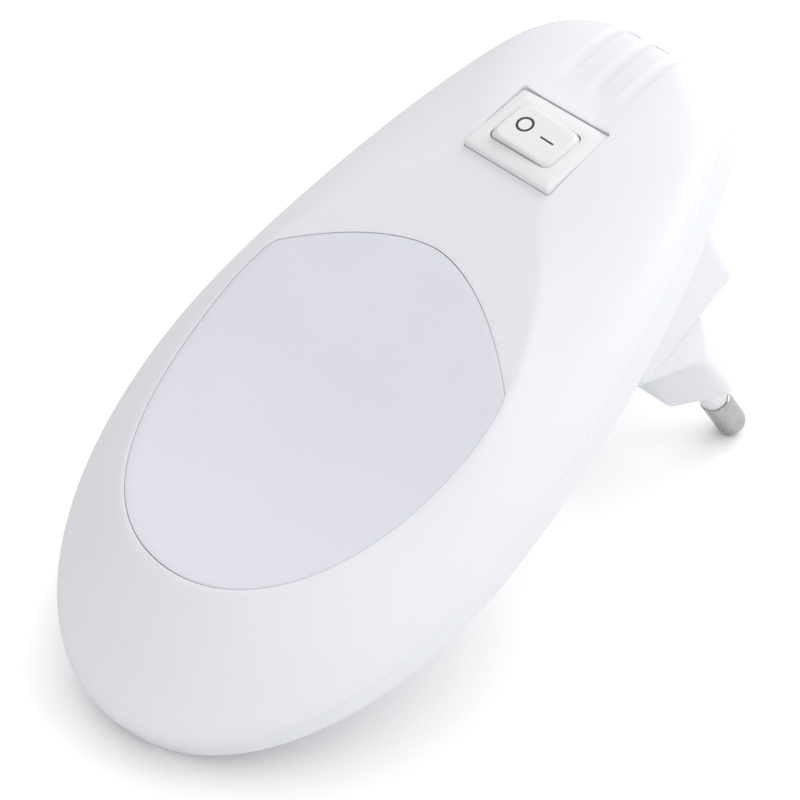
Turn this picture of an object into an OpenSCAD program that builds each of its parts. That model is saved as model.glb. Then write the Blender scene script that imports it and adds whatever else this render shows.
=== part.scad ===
// Plug-in LED night light with a mini rocker switch.
// X runs across the body, Z up its long axis, and the plug pins point along +Y into the wall.
// The origin is the centre of the plug's face, midway between the pins. Millimetres.

/* [Plug] */
// Diameter of a plug pin
pin_d = 4; // [3.6:0.1:4.8]
// Length of a pin past the plug's face
pin_len = 18; // [17:0.5:20]
// Distance between the pin centres
pin_pitch = 19; // [17.5:0.1:19.5]
// Length of the insulating sleeve on each pin
sleeve_len = 10; // [8:0.5:11]
// Depth of the nose that enters the socket
nose_depth = 12; // [10:0.5:15]
// Half width of the nose at its face
nose_half_w = 17.1; // [16:0.1:17.6]
// Half height of the nose
nose_half_h = 5.8; // [5:0.1:6]

/* [Neck] */
// Width of the neck where it meets the nose
neck_w = 29.2; // [28:0.2:30]
// Width of the neck at its foot
neck_foot_w = 31; // [30.4:0.2:33]
// Top of the neck over the pins
neck_top = 10.2; // [9.8:0.2:11]
// Underside of the neck below the pins
neck_low = 8.8; // [8.6:0.2:10]
// Radius of the neck's long edges
neck_r = 2; // [1:0.2:3]
// How much further the foot reaches up and down, for draft
neck_draft = 0.4; // [0:0.2:1]

/* [Body] */
// Distance from the plug's face to the back of the body
standoff = 30.9; // [29:0.2:36]
// Height of the rear cover's band below the parting line, at the bottom end
band_h = 2.9; // [2.4:0.1:4]
// How much deeper that band is at the top end
band_taper = 1.7; // [0:0.1:2]
// Greatest half width of the body
half_w = 28.1; // [26.5:0.1:32]
// Height of the widest place, measured from the pins
wide_z = -38.1; // [-42:0.5:-34]
// Bottom end of the body
bottom_z = -77.1; // [-84:0.5:-76]
// Top end of the body
top_z = 23.1; // [22:0.1:27]
// Half width where the top end starts to round over
shoulder_x = 17.4; // [16.5:0.1:19]
// Height where the top end starts to round over
shoulder_z = 13.5; // [12:0.1:15]
// Wall of the mouldings
wall = 1.8; // [1.4:0.1:2.2]

/* [Front face] */
// Height of the front face over the parting line
front_h = 7.5; // [7:0.1:10]
// How much further forward the bottom edge of the front face lies
chin = 3.6; // [0:0.2:5]
// How far the front face falls back at the top end
roll_drop = 8.3; // [6:0.1:9]
// Fullness of the curved flank, where 1 is a straight bevel
flank_power = 2.6; // [1.8:0.1:3.5]
// Half width of the front face at its widest
face_half_w = 21.4; // [19:0.1:23]
// Bottom of the front face
face_bottom_z = -60.4; // [-63:0.2:-58]

/* [Window] */
// Width of the seam round the diffuser
seam = 0.15; // [0.1:0.05:0.3]
// Thickness of the diffuser
diffuser_t = 1.4; // [1.1:0.1:1.6]
// Height of the window's two upper corners
corner_z = -22; // [-25:0.2:-20]
// Height of the window's top arc in the middle
arc_z = -12.6; // [-15:0.2:-11]

/* [Switch] */
// Width of the switch bezel, across the body
bezel_w = 14.1; // [13.4:0.1:14.6]
// Height of the switch bezel
bezel_h = 10.2; // [9.6:0.1:10.6]
// Height of the switch centre over the pins
switch_z = 4.25; // [3:0.05:5]
// Tilt of the switch against the body, in degrees
switch_tilt = 15.5; // [12:0.5:18]
// Half of the rocker's swing, in degrees
rock_half = 5; // [4:0.5:7]
// Half of the contact blade's swing, in degrees
blade_half = 2.5; // [2:0.25:3.5]

/* [Grip flutes] */
// Number of flutes on the top end
flute_n = 3; // [2:1:4]
// Spacing of the flutes
flute_pitch = 4.6; // [3.5:0.1:5.5]
// Width of a flute
flute_w = 2.2; // [1.4:0.1:2.8]

/* [Electronics] */
// Thickness of the circuit boards
board_t = 1.2; // [0.8:0.2:1.6]
// Rows of LEDs up the board
led_rows = 3; // [2:1:4]
// Spacing of the LEDs
led_pitch = 13; // [11:0.5:14]
// Outside diameter of the wires
wire_d = 1.3; // [1:0.1:1.6]

/* [Screws] */
// Thread diameter of the cover screws
screw_d = 2.4; // [2:0.1:3]
// Length of the cover screws under the head
screw_len = 5; // [4:0.5:5]
// Height of the lower screw
screw_low_z = -66.8; // [-69:0.2:-66]
// Distance of the two upper screws from the centre line
screw_side_x = 19.9; // [19.7:0.1:20.5]
// Height of the two upper screws
screw_side_z = -12.8; // [-15:0.2:-12]

/* [Hidden] */

$fn = 40;
e = 0.01;                       // overshoot of a cut
slip = 0.05;                    // clearance of a part that is pushed into its seat
gap = 0.3;                      // clearance between neighbours that don't touch
steps = 14;                     // points along each of the three curves of a half outline

back_y = -standoff;
part_y = back_y - band_h;
face_y = part_y - front_h;
roll_z = -4.8;                    // the front face is straight below this height
mid_z = -30.8;                   // the chin starts below this height
chin_run = 30;                  // the chin and the roll reach their full depth over these heights
roll_run = 28;
plate_t = 2;                    // plate of the rear cover
plate_y = back_y - plate_t;
lip_in = wall + 0.5;            // the lip that centres the front shell, and its height
lip_h = 0.8;

// ---- curves of the body ----

function bezier(p, t) = pow(1 - t, 3) * p[0] + 3 * pow(1 - t, 2) * t * p[1]
    + 3 * (1 - t) * t * t * p[2] + pow(t, 3) * p[3];
function chain(curves) = [for (c = curves) for (i = [0 : steps - 1]) bezier(c, i / steps),
    curves[len(curves) - 1][3]];

// Half outline at the parting line: round bottom, long flank, rounded top end.
flank_dir = [-0.42, 0.91];
outline = chain([
    [[0, bottom_z], [0.55 * half_w, bottom_z],
        [half_w, wide_z - 0.56 * (wide_z - bottom_z)], [half_w, wide_z]],
    [[half_w, wide_z], [half_w, wide_z + 16.9],
        [shoulder_x, shoulder_z] - 14.3 * flank_dir, [shoulder_x, shoulder_z]],
    [[shoulder_x, shoulder_z], [shoulder_x, shoulder_z] + 8.6 * flank_dir,
        [8, top_z], [0, top_z]]]);

// Half outline of the front face: the window's U, then a taper to the switch and over it.
face_wide_z = wide_z + 8.1;
face_neck = [bezel_w / 2 - 0.15, switch_z - 5.5];
face_dir = [-0.2, 0.98];
face_top_z = switch_z + 8.35;
face_line = chain([
    [[0, face_bottom_z], [0.65 * face_half_w, face_bottom_z],
        [face_half_w, face_wide_z - 0.56 * (face_wide_z - face_bottom_z)],
        [face_half_w, face_wide_z]],
    [[face_half_w, face_wide_z], [face_half_w, face_wide_z + 15.9],
        face_neck - 1.9 * face_dir, face_neck],
    [face_neck, face_neck + 6 * face_dir, [6, face_top_z], [0, face_top_z]]]);

last = len(outline) - 1;
function along(p, i) = p[min(i + 1, last)] - p[max(i - 1, 0)];
function inward(p, i) = i == 0 ? [0, 1] : i == last ? [0, -1]
    : let (d = along(p, i)) [-d[1], d[0]] / norm(d);

// Depth of the front face at a height.
function front_y(z) = face_y - chin * pow(max(0, (mid_z - z) / chin_run), 2)
    + roll_drop * pow(max(0, (z - roll_z) / roll_run), 2);

// A closed ring from its right half, mirrored in the middle plane.
function ring(half) = [each half, for (i = [last - 1 : -1 : 1]) [-half[i][0], half[i][1], half[i][2]]];

// Ring on the flank at share q of its height, with the wall taken off.
function flank_ring(q, t) = ring([for (i = [0 : last])
    let (o = outline[i] + t * inward(outline, i), f = face_line[i] + t * inward(outline, i),
        p = o + (f - o) * pow(q, flank_power), top = front_y(f[1]) + t)
    [max(p[0], 0), part_y + (top - part_y) * q, p[1]]]);

// Ring on the front face at share s of its size.
function face_ring(s, t) = ring([for (i = [0 : last])
    let (f = face_line[i] + t * inward(outline, i), z = mid_z + (f[1] - mid_z) * s)
    [max(f[0], 0) * s, front_y(z) + t, z]]);

// Prism ring of the half outline at one depth.
function flat_ring(y, t) = ring([for (i = [0 : last])
    let (o = outline[i] + t * inward(outline, i)) [max(o[0], 0), y, o[1]]]);

// The back leans: it lies deeper towards the top end.
function back_plane(z) = back_y + band_taper * (z - bottom_z) / (top_z - bottom_z);
function back_ring(lift, t) = ring([for (i = [0 : last])
    let (o = outline[i] + t * inward(outline, i)) [max(o[0], 0), back_plane(o[1]) + lift, o[1]]]);

// Solid through a list of equal rings, closed by a fan at both ends.
module loft(rings) {
    n = len(rings[0]);
    m = len(rings);
    middle = [for (r = [rings[0], rings[m - 1]]) [for (k = [0 : 2]) (r[0][k] + r[n / 2][k]) / 2]];
    points = [for (r = rings) each r, each middle];
    sides = [for (j = [0 : m - 2]) for (i = [0 : n - 1]) let (k = (i + 1) % n, a = j * n, b = a + n)
        each [[a + i, b + i, b + k], [a + i, b + k, a + k]]];
    foot = [for (i = [0 : n - 1]) [m * n, i, (i + 1) % n]];
    head = [for (i = [0 : n - 1]) [m * n + 1, (m - 1) * n + (i + 1) % n, (m - 1) * n + i]];
    polyhedron(points, concat(sides, foot, head), convexity = 6);
}

flank_steps = [0, 0.3, 0.52, 0.7, 0.84, 0.93, 1];
face_steps = [0.8, 0.6, 0.4, 0.2, 0.02];

// The body's outer form in front of the parting line, or its cavity when t is the wall.
module body_form(t, foot_y) {
    loft(concat(foot_y > part_y ? [flat_ring(foot_y, t)] : [],
        [for (q = flank_steps) flank_ring(q, t)], [for (s = face_steps) face_ring(s, t)]));
}

// Window outline, grown by a margin: the U of the front face and the arc across it.
arc_half = 20.3;
arc_rise = arc_z - corner_z;
arc_r = (arc_half * arc_half + arc_rise * arc_rise) / (2 * arc_rise);
window_in = 0.35;               // the window's edge lies this far inside the crease
module window_shape(grow) {
    t = window_in - grow;
    half = [for (i = [0 : last]) if (face_line[i][1] < 0) face_line[i] + t * inward(face_line, i)];
    intersection() {
        polygon([each half, for (i = [len(half) - 1 : -1 : 1]) [-half[i][0], half[i][1]]]);
        translate([0, arc_z - arc_r]) circle(arc_r + grow);
    }
}

// Slab that follows the front face, between two depths below it.
module face_slab(t0, t1) {
    zs = [for (z = [0 : 3 : 60]) face_bottom_z - 2.4 + z];
    translate([-face_half_w - 5, 0, 0]) rotate([90, 0, 90]) linear_extrude(2 * face_half_w + 10) polygon([
        for (z = zs) [front_y(z) + t0, z], for (i = [len(zs) - 1 : -1 : 0]) [front_y(zs[i]) + t1, zs[i]]]);
}

// Extrudes a shape drawn in X and Z from depth y0 to depth y1.
module deep(y0, y1) {
    translate([0, y1, 0]) rotate([90, 0, 0]) linear_extrude(y1 - y0) children();
}

module round_rect(w, h, r) {
    for (a = [0, 1]) square([w - 2 * r * a, h - 2 * r * (1 - a)], center = true);
    for (x = [-1, 1], z = [-1, 1]) translate([x * (w / 2 - r), z * (h / 2 - r)]) circle(r);
}

// ---- switch frame: Y runs into the body, X and Z stay across and along ----

switch_sink = 0.05;
module in_switch() {
    translate([0, front_y(switch_z) + switch_sink, switch_z]) rotate([-switch_tilt, 0, 0]) children();
}

bezel_t = 1.2;
housing_w = bezel_w - 1;
housing_h = bezel_h - 1.4;
housing_d = 10.6;
mouth_w = housing_w - 1.7;
mouth_h = housing_h - 2.7;
frame_flat = 0.35;              // flat edge of the bezel, outside its slope
frame_deep = 0.8;
pivot_y = 2.4;
pivot_r = 0.9;
rocker_r = mouth_w / 2 - 0.12;  // the rocker's ends are arcs about its pivot
rocker_h = mouth_h - 0.4;
blade_y = 8.8;
ridge_r = 0.4;
barrel_r = 0.9;
blade_t = 0.5;
tip_y = blade_y - barrel_r - gap;
contact_x = 4.1;
blade_end = contact_x + 0.8;
floor_y = housing_d - 1;
contact_y = blade_y + contact_x * sin(blade_half) - (barrel_r - blade_t) * cos(blade_half) + 0.25;
terminal_w = 3;
terminal_t = 0.8;
terminal_end = housing_d + 7;

// ---- screw seats ----

screw_at = [[0, screw_low_z], [-screw_side_x, screw_side_z], [screw_side_x, screw_side_z]];
head_r = screw_d;
head_h = 1.3;
head_sink = head_h + 0.1;
boss_r = screw_d / 2 + 1.4;
ledge = 1.4;                    // width of the ledge that carries the diffuser
ledge_t = 1.6;

// ---- sub-parts ----

// Front moulding: lofted skin, window with a ledge, switch seat, grip flutes and screw bosses.
module front_shell() {
    color("whitesmoke") difference() {
        union() {
            difference() {
                body_form(0, part_y);
                body_form(wall, part_y + 1);
            }
            intersection() {
                body_form(wall / 2, part_y);
                for (p = screw_at) translate([p[0], part_y - 30, p[1]])
                    rotate([-90, 0, 0]) cylinder(r = boss_r, h = 30);
            }
            intersection() {
                deep(face_y - 20, part_y - 1) window_shape(0.2);
                face_slab(diffuser_t, diffuser_t + ledge_t);
            }
            in_switch() deep(bezel_t, 3.4) square([housing_w + 2, housing_h + 2], center = true);
        }
        intersection() {
            deep(face_y - 20, part_y - 1) window_shape(0);
            face_slab(-5, diffuser_t);
        }
        deep(face_y - 20, part_y - 1) window_shape(-ledge);
        in_switch() {
            deep(-3, bezel_t) round_rect(bezel_w + 2 * seam, bezel_h + 2 * seam, 0.6);
            deep(0, 8) square([housing_w + 2 * slip, housing_h + 2 * slip], center = true);
        }
        for (p = screw_at) translate([p[0], part_y - 4.2, p[1]])
            rotate([-90, 0, 0]) cylinder(r = screw_d / 2 + slip, h = 5);
        flutes();
    }
}

// Shallow grooves that run over the top end, each on a wide arc in the YZ plane.
module flutes() {
    bottom_r = 52.9;
    for (i = [0 : flute_n - 1])
        translate([(i - (flute_n - 1) / 2) * flute_pitch, part_y + 46.8, top_z - 23.6])
            rotate([0, 90, 0]) rotate([0, 0, -119]) rotate_extrude(angle = 14)
                translate([bottom_r + flute_w, 0]) circle(flute_w);
}

// Opal panel that lies flush in the window.
module diffuser() {
    color("gainsboro") intersection() {
        face_slab(0, diffuser_t);
        deep(face_y - 20, part_y - 1) window_shape(-seam);
    }
}

// Tray, lip, neck and board posts in one moulding.
module rear_cover() {
    color("white") difference() {
        union() {
            difference() {
                loft([back_ring(0, 0.7), back_ring(-0.7, 0), flat_ring(part_y, 0)]);
                loft([back_ring(-plate_t, wall), flat_ring(part_y - 1, wall)]);
            }
            difference() {
                loft([back_ring(-plate_t + 0.2, lip_in), flat_ring(part_y - lip_h, lip_in)]);
                loft([back_ring(-plate_t + 1, lip_in + 1), flat_ring(part_y - lip_h - 1, lip_in + 1)]);
                for (p = screw_at) translate([p[0], part_y - 3, p[1]])
                    rotate([-90, 0, 0]) cylinder(r = boss_r + gap, h = 3);
            }
            neck(0, nose_depth, foot_y);
            for (p = screw_at) translate([p[0], part_y, p[1]])
                rotate([-90, 0, 0]) cylinder(r = boss_r + 0.6, h = back_plane(p[1]) - part_y - 0.1);
            for (p = post_at) translate([p[0], board_y, p[1]])
                rotate([-90, 0, 0]) cylinder(r = 1.6, h = back_plane(p[1]) - plate_t / 2 - board_y);
        }
        neck(wall, nose_depth + wall, foot_y - 1);
        for (p = screw_at) translate([p[0], back_plane(p[1]), p[1]]) rotate([90, 0, 0]) {
            translate([0, 0, -1]) cylinder(r = head_r + 0.1, h = head_sink + 1);
            cylinder(r = screw_d / 2 + 0.2, h = 12);
        }
        deep(-nose_depth - wall - 1, -nose_depth + 1) spigot_shape(slip);
    }
}

foot_y = back_plane(-neck_low) - plate_t;

// Drafted box from the rear cover to the nose, t inside its outer faces.
module neck(t, front, foot) {
    hull() {
        deep(foot, foot + e) neck_shape(neck_foot_w / 2 - t, neck_low + neck_draft - t,
            neck_top + neck_draft - t);
        deep(-front - e, -front) neck_shape(neck_w / 2 - t, neck_low - t, neck_top - t);
    }
}

module neck_shape(half, low, high) {
    translate([0, (high - low) / 2]) round_rect(2 * half, low + high, neck_r);
}

spigot_w = 23.6;
spigot_h = 8.8;
module spigot_shape(grow) {
    square([spigot_w + 2 * grow, spigot_h + 2 * grow], center = true);
}

post_at = [for (x = [-1, 1], z = [face_bottom_z + 9.6, corner_z - 0.8]) [x * 0.61 * face_half_w, z]];
board_y = plate_y - 1.8;

// Nose that enters the socket: six-sided, with its widest ridge a little above the pins.
sleeve_r = pin_d / 2 - 0.2;
sleeve_in = 2;                  // the sleeve starts this deep in the nose
pin_core = sleeve_r - 0.35;     // radius of the pin inside its sleeve and the nose
tail_r = pin_d / 4;
root_y = -nose_depth + 2.2;     // the thick part of a pin ends here
module plug_nose() {
    color("white") difference() {
        union() {
            hull() {
                deep(-nose_depth, -nose_depth + e) nose_root();
                deep(waist_y - e, waist_y) nose_shape(nose_half_w - 0.4, 0);
            }
            hull() {
                deep(waist_y - e, waist_y) nose_shape(nose_half_w - 0.4, 0);
                deep(-0.4, -0.4 + e) nose_shape(nose_half_w, 0);
                deep(-e, 0) nose_shape(nose_half_w, 0.3);
            }
            deep(-nose_depth - wall, -nose_depth + e) spigot_shape(0);
        }
        for (x = [-1, 1]) translate([x * pin_pitch / 2, 0, 0]) rotate([90, 0, 0]) {
            translate([0, 0, -1]) cylinder(r = sleeve_r + slip, h = 1 + sleeve_in);
            translate([0, 0, -1]) cylinder(r = pin_core + slip, h = 1 - root_y + 0.2);
            cylinder(r = tail_r + slip, h = 40);
        }
    }
}

// Section of the nose, t inside its edges; the underside lies a little lower towards the neck.
module nose_shape(half, t) {
    right = [[0.38 * half, nose_half_h - t], [half - t, 0.3], [half - t, -1],
        [0.68 * half, -nose_half_h - 0.3 + t]];
    polygon([each right, for (i = [3 : -1 : 0]) [-right[i][0], right[i][1]]]);
}

// The neck's end is covered by the nose's root as far as the shoulder above the ridge.
waist_y = -nose_depth + 3;
module nose_root() {
    half = neck_w / 2 - 0.4;
    polygon([[half - 6, nose_half_h - 0.4], [half, 3.6], [half, 1 - neck_low], [half - 1, 0.4 - neck_low],
        [1 - half, 0.4 - neck_low], [-half, 1 - neck_low], [-half, 3.6], [6 - half, nose_half_h - 0.4]]);
}

// Pin with a rounded tip, a slim core for its sleeve and a tail that reaches the driver board.
driver_y = -nose_depth - wall;
tail_end = -driver_y + board_t + 1;
tip_r = 0.4 * pin_d;
module pin() {
    color("silver") rotate([-90, 0, 0]) rotate_extrude() polygon([
        [0, -tail_end], [tail_r, -tail_end], [tail_r, root_y], [pin_core, root_y],
        [pin_core, sleeve_len], [pin_d / 2, sleeve_len],
        for (a = [0 : 15 : 90]) [pin_d / 2 - tip_r + tip_r * cos(a), pin_len - tip_r + tip_r * sin(a)],
        [0, pin_len]]);
}
module pin_left() { translate([-pin_pitch / 2, 0, 0]) pin(); }
module pin_right() { translate([pin_pitch / 2, 0, 0]) pin(); }

// Insulating sleeve round the pin's core.
module pin_sleeve() {
    color("white") rotate([-90, 0, 0]) translate([0, 0, slip - sleeve_in]) difference() {
        cylinder(r = sleeve_r, h = sleeve_in + sleeve_len - 2 * slip);
        translate([0, 0, -1]) cylinder(r = pin_core + slip, h = sleeve_in + sleeve_len + 2);
    }
}
module pin_sleeve_left() { translate([-pin_pitch / 2, 0, 0]) pin_sleeve(); }
module pin_sleeve_right() { translate([pin_pitch / 2, 0, 0]) pin_sleeve(); }

module cover_screws() {
    color("dimgray") for (p = screw_at)
        translate([p[0], back_plane(p[1]) - head_sink + head_h, p[1]])
        rotate([90, 0, 0]) difference() {
            union() {
                cylinder(r = head_r - 0.1, h = head_h);
                cylinder(r = screw_d / 2, h = head_h + screw_len);
            }
            for (a = [0, 90]) rotate(a) translate([-head_r * 0.6, -0.25, -e])
                cube([head_r * 1.2, 0.5, 0.6]);
        }
}

// Board behind the window, on the four posts.
module led_board() {
    color("white") deep(board_y - board_t, board_y) window_shape(0);
}

led_rows_z = [for (i = [0 : led_rows - 1]) wide_z + 1.3 + (i - (led_rows - 1) / 2) * led_pitch];
module leds() {
    color("khaki") for (x = [-1, 1], z = led_rows_z)
        translate([x * led_pitch / 2 - 1.75, board_y - board_t - 0.8, z - 1.4]) cube([3.5, 0.8, 2.8]);
}

// White collar between the board and the diffuser's ledge.
module light_box() {
    color("white") intersection() {
        difference() {
            deep(face_y - 20, board_y - board_t) window_shape(-0.1);
            deep(face_y - 21, board_y) window_shape(-ledge);
        }
        face_slab(diffuser_t + ledge_t, 20);
    }
}

module bridge_rectifier() {
    color("black") translate([-2.4, board_y, wide_z - 0.7]) cube([4.8, 1.5, 4]);
}

module driver_board() {
    color("seagreen") difference() {
        deep(driver_y - board_t, driver_y) neck_shape(neck_w / 2 - wall - 0.2,
            neck_low - wall - 0.2, neck_top - wall - 0.2);
        for (x = [-1, 1]) translate([x * pin_pitch / 2, 0, 0])
            rotate([90, 0, 0]) cylinder(r = tail_r + slip, h = 40);
    }
}

// Parts on the driver board, placed from the edges of the neck's cavity.
comp_y = driver_y - board_t;
cavity_x = neck_w / 2 - wall;
cavity_low = -neck_low + wall;
cavity_top = neck_top - wall;
film_size = [12, 9, 4.2];
can_r = 3;
can_h = 8.5;
resistor_len = 6.5;
resistor_r = 1.2;
module film_capacitor() {
    color("goldenrod") translate([4.4 - film_size[0], comp_y - film_size[1], cavity_low + 0.3])
        cube(film_size);
}

module smoothing_capacitor() {
    color("midnightblue") translate([cavity_x - can_r - 1.8, comp_y, cavity_top - can_r - 0.5])
        rotate([90, 0, 0]) cylinder(r = can_r, h = can_h);
}

module inrush_resistor() {
    color("steelblue") translate([2 - cavity_x, comp_y - resistor_r, cavity_top - 2.3])
        rotate([0, 90, 0]) cylinder(r = resistor_r, h = resistor_len);
}

// Switch body: bezel with a dished mouth, hollow box, pivot holes and terminal slots.
module switch_housing() {
    color("ghostwhite") in_switch() difference() {
        union() {
            deep(0, bezel_t) round_rect(bezel_w, bezel_h, 0.5);
            deep(bezel_t - e, housing_d) square([housing_w, housing_h], center = true);
        }
        hull() {
            deep(-e, 0) round_rect(bezel_w - 2 * frame_flat, bezel_h - 2 * frame_flat, 0.6);
            deep(frame_deep, frame_deep + e) round_rect(mouth_w, mouth_h, 0.3);
        }
        deep(frame_deep - 0.3, floor_y) square([mouth_w, mouth_h], center = true);
        translate([0, pivot_y, 0]) cylinder(r = pivot_r + slip, h = housing_h + 2, center = true);
        for (x = [0, -contact_x]) deep(floor_y - e, housing_d + e) translate([x, 0])
            square([terminal_t + 2 * slip, terminal_w + 2 * slip], center = true);
    }
}

// Rocker: shallow V on top with round corners, ends on an arc about the pivots at its sides, and
// a stem for the plunger.
stem_r = 1.7;
bore_r = 1.15;
top_low = 2.75;                 // heights of the V over the pivot, in the middle and at the ends
top_high = 3.1;
corner_r = 1.4;
module rocker() {
    end = sqrt(rocker_r * rocker_r - top_high * top_high);
    color("white") in_switch() translate([0, pivot_y, 0]) rotate([0, 0, rock_half]) difference() {
        union() {
            intersection() {
                translate([0, 0, -rocker_h / 2]) linear_extrude(rocker_h) polygon([
                    [-rocker_r, -2.2], [-end, -top_high], [0, -top_low], [end, -top_high],
                    [rocker_r, -2.2], [3.3, 0.9], [-3.3, 0.9]]);
                cylinder(r = rocker_r, h = rocker_h + 2, center = true);
                deep(-4, 2) round_rect(2 * rocker_r, rocker_h, corner_r);
            }
            cylinder(r = pivot_r, h = housing_h - 0.3, center = true);
            rotate([-90, 0, 0]) cylinder(r = stem_r, h = 3.4);
        }
        rotate([-90, 0, 0]) translate([0, 0, -0.4]) cylinder(r = bore_r, h = 10);
    }
}

module rocker_plunger() {
    color("silver") in_switch() translate([0, pivot_y, 0]) rotate([0, 0, rock_half])
        rotate([-90, 0, 0]) {
            translate([0, 0, 2.6]) cylinder(r = bore_r - slip, h = tip_y - pivot_y - 2.6 - bore_r + slip);
            translate([0, 0, tip_y - pivot_y - bore_r + slip]) sphere(r = bore_r - slip);
        }
}

// Coil spring behind the plunger, as a swept round wire.
module rocker_spring() {
    turns = 4;
    wire_r = 0.16;
    coil_r = bore_r - slip - 0.05 - wire_r;
    length = 2.6 - 0.02 + 0.4 - 2 * wire_r - 0.04;
    seg = 12;
    rings = [for (i = [0 : turns * seg]) let (a = i * 360 / seg, z = -0.4 + 0.02 + wire_r + length * i / (turns * seg))
        [for (b = [0 : 60 : 300]) [(coil_r + wire_r * cos(b)) * cos(a), (coil_r + wire_r * cos(b)) * sin(a),
            z + wire_r * sin(b)]]];
    color("gray") in_switch() translate([0, pivot_y, 0]) rotate([0, 0, rock_half]) rotate([-90, 0, 0])
        loft(rings);
}

// See-saw blade that rocks on the ridge of the common terminal.
module contact_blade() {
    color("peru") in_switch() translate([0, blade_y, 0]) rotate([0, 0, -blade_half]) difference() {
        union() {
            translate([-blade_end, -barrel_r, -terminal_w / 2])
                cube([2 * blade_end, blade_t, terminal_w]);
            cylinder(r = barrel_r, h = terminal_w, center = true);
        }
        cylinder(r = ridge_r + slip, h = terminal_w + 1, center = true);
        translate([-2 * barrel_r, 0, -terminal_w]) cube([4 * barrel_r, 2 * barrel_r, 2 * terminal_w]);
    }
}

module common_terminal() {
    color("peru") in_switch() {
        translate([0, blade_y, 0]) cylinder(r = ridge_r, h = terminal_w, center = true);
        deep(blade_y, terminal_end) square([terminal_t - 0.1, terminal_w], center = true);
    }
}

module output_terminal() {
    color("peru") in_switch() translate([-contact_x, 0, 0]) {
        deep(contact_y, terminal_end) square([terminal_t - 0.1, terminal_w], center = true);
        deep(contact_y, floor_y) square([1.4, terminal_w], center = true);
    }
}

// Round wire swept along cubic curves.
function unit(v) = v / norm(v);
wire_steps = 7;
module wire(curves, shade) {
    path = [for (c = curves) for (i = [0 : wire_steps - 1]) bezier(c, i / wire_steps),
        curves[len(curves) - 1][3]];
    m = len(path) - 1;
    color(shade) loft([for (j = [0 : m])
        let (t = unit(path[min(j + 1, m)] - path[max(j - 1, 0)]), u = unit(cross([1, 0, 0], t)),
            v = cross(t, u))
        [for (b = [0 : 45 : 315]) path[j] - wire_d / 2 * (cos(b) * v + sin(b) * u)]]);
}

// Places in the switch frame, as seen from the body's frame.
function from_switch(p) = [p[0],
    front_y(switch_z) + switch_sink + p[1] * cos(switch_tilt) + p[2] * sin(switch_tilt),
    switch_z - p[1] * sin(switch_tilt) + p[2] * cos(switch_tilt)];
common_end = from_switch([0, terminal_end, 0]);
output_end = from_switch([-contact_x, terminal_end, 0]);
switch_dir = from_switch([0, 1, 0]) - from_switch([0, 0, 0]);

solder = 0.15;                  // room at a wire's end for its solder
module wire_feed() {
    end = [7, comp_y - solder, cavity_low + 5.4];
    wire([[common_end + solder * switch_dir, common_end + 3 * switch_dir, end - [0, 3, 0], end]],
        "firebrick");
}

// Both leads of the LED board leave the neck at its lower edge and lie on the board's back.
lead_y = board_y + wire_d / 2 + slip;
lead_z = cavity_low + 4.2;
lead_x = cavity_x - 1.2;
turn_y = comp_y - 10;
board_z = arc_z - 6.2;
function lead(side) = [
    [[side * lead_x, turn_y, lead_z], [side * lead_x, plate_y + 3.2, lead_z - 1],
        [side * (lead_x - 0.6), lead_y, lead_z - 1.3], [side * (lead_x - 1), lead_y, lead_z - 5.4]],
    [[side * (lead_x - 1), lead_y, lead_z - 5.4], [side * (lead_x - 1.2), lead_y, lead_z - 8],
        [side * (lead_x - 1.5), lead_y, board_z + 3], [side * (lead_x - 1.5), lead_y, board_z]]];
module wire_led() {
    wire([[output_end + solder * switch_dir, output_end + 5 * switch_dir,
        [-lead_x, turn_y + 5.5, lead_z + 1], [-lead_x, turn_y, lead_z]], each lead(-1)], "royalblue");
}
module wire_return() {
    end = [cavity_x - 1.6, comp_y - solder, cavity_low + 1.6];
    wire([[end, end - [0, 3, 0], [lead_x, turn_y + 3, lead_z + 0.6], [lead_x, turn_y, lead_z]],
        each lead(1)], "dimgray");
}

front_shell();
diffuser();
rear_cover();
plug_nose();
pin_left();
pin_right();
pin_sleeve_left();
pin_sleeve_right();
cover_screws();
led_board();
leds();
light_box();
bridge_rectifier();
driver_board();
film_capacitor();
smoothing_capacitor();
inrush_resistor();
switch_housing();
rocker();
rocker_plunger();
rocker_spring();
contact_blade();
common_terminal();
output_terminal();
wire_feed();
wire_led();
wire_return();
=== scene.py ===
"""Plug-in night light, lying on its back on a sheet of white paper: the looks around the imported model."""

import math

import bmesh
import bpy
from mathutils import Matrix, Vector


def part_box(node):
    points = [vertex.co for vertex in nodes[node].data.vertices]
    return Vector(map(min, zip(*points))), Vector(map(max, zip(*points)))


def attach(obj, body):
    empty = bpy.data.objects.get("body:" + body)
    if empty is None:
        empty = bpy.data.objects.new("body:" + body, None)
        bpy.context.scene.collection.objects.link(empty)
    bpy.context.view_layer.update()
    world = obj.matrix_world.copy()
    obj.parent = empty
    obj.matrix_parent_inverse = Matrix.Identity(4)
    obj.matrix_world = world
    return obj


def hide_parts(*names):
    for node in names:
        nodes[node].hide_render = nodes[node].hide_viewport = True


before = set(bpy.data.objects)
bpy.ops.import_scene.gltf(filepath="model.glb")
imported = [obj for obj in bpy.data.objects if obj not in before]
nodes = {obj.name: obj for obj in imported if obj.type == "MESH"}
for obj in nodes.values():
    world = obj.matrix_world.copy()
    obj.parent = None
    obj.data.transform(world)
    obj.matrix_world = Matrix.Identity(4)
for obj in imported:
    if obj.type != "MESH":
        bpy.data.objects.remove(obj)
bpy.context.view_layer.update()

# ---- Floor ----
# A sheet of smooth white paper. The night light lies on it on its two pin tips and on the bottom
# edge of its back cover, so the sheet is tilted about X against the light's own axes.
# Its underside lets the camera through, which leaves the views from below free.
MM = 0.001


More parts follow.
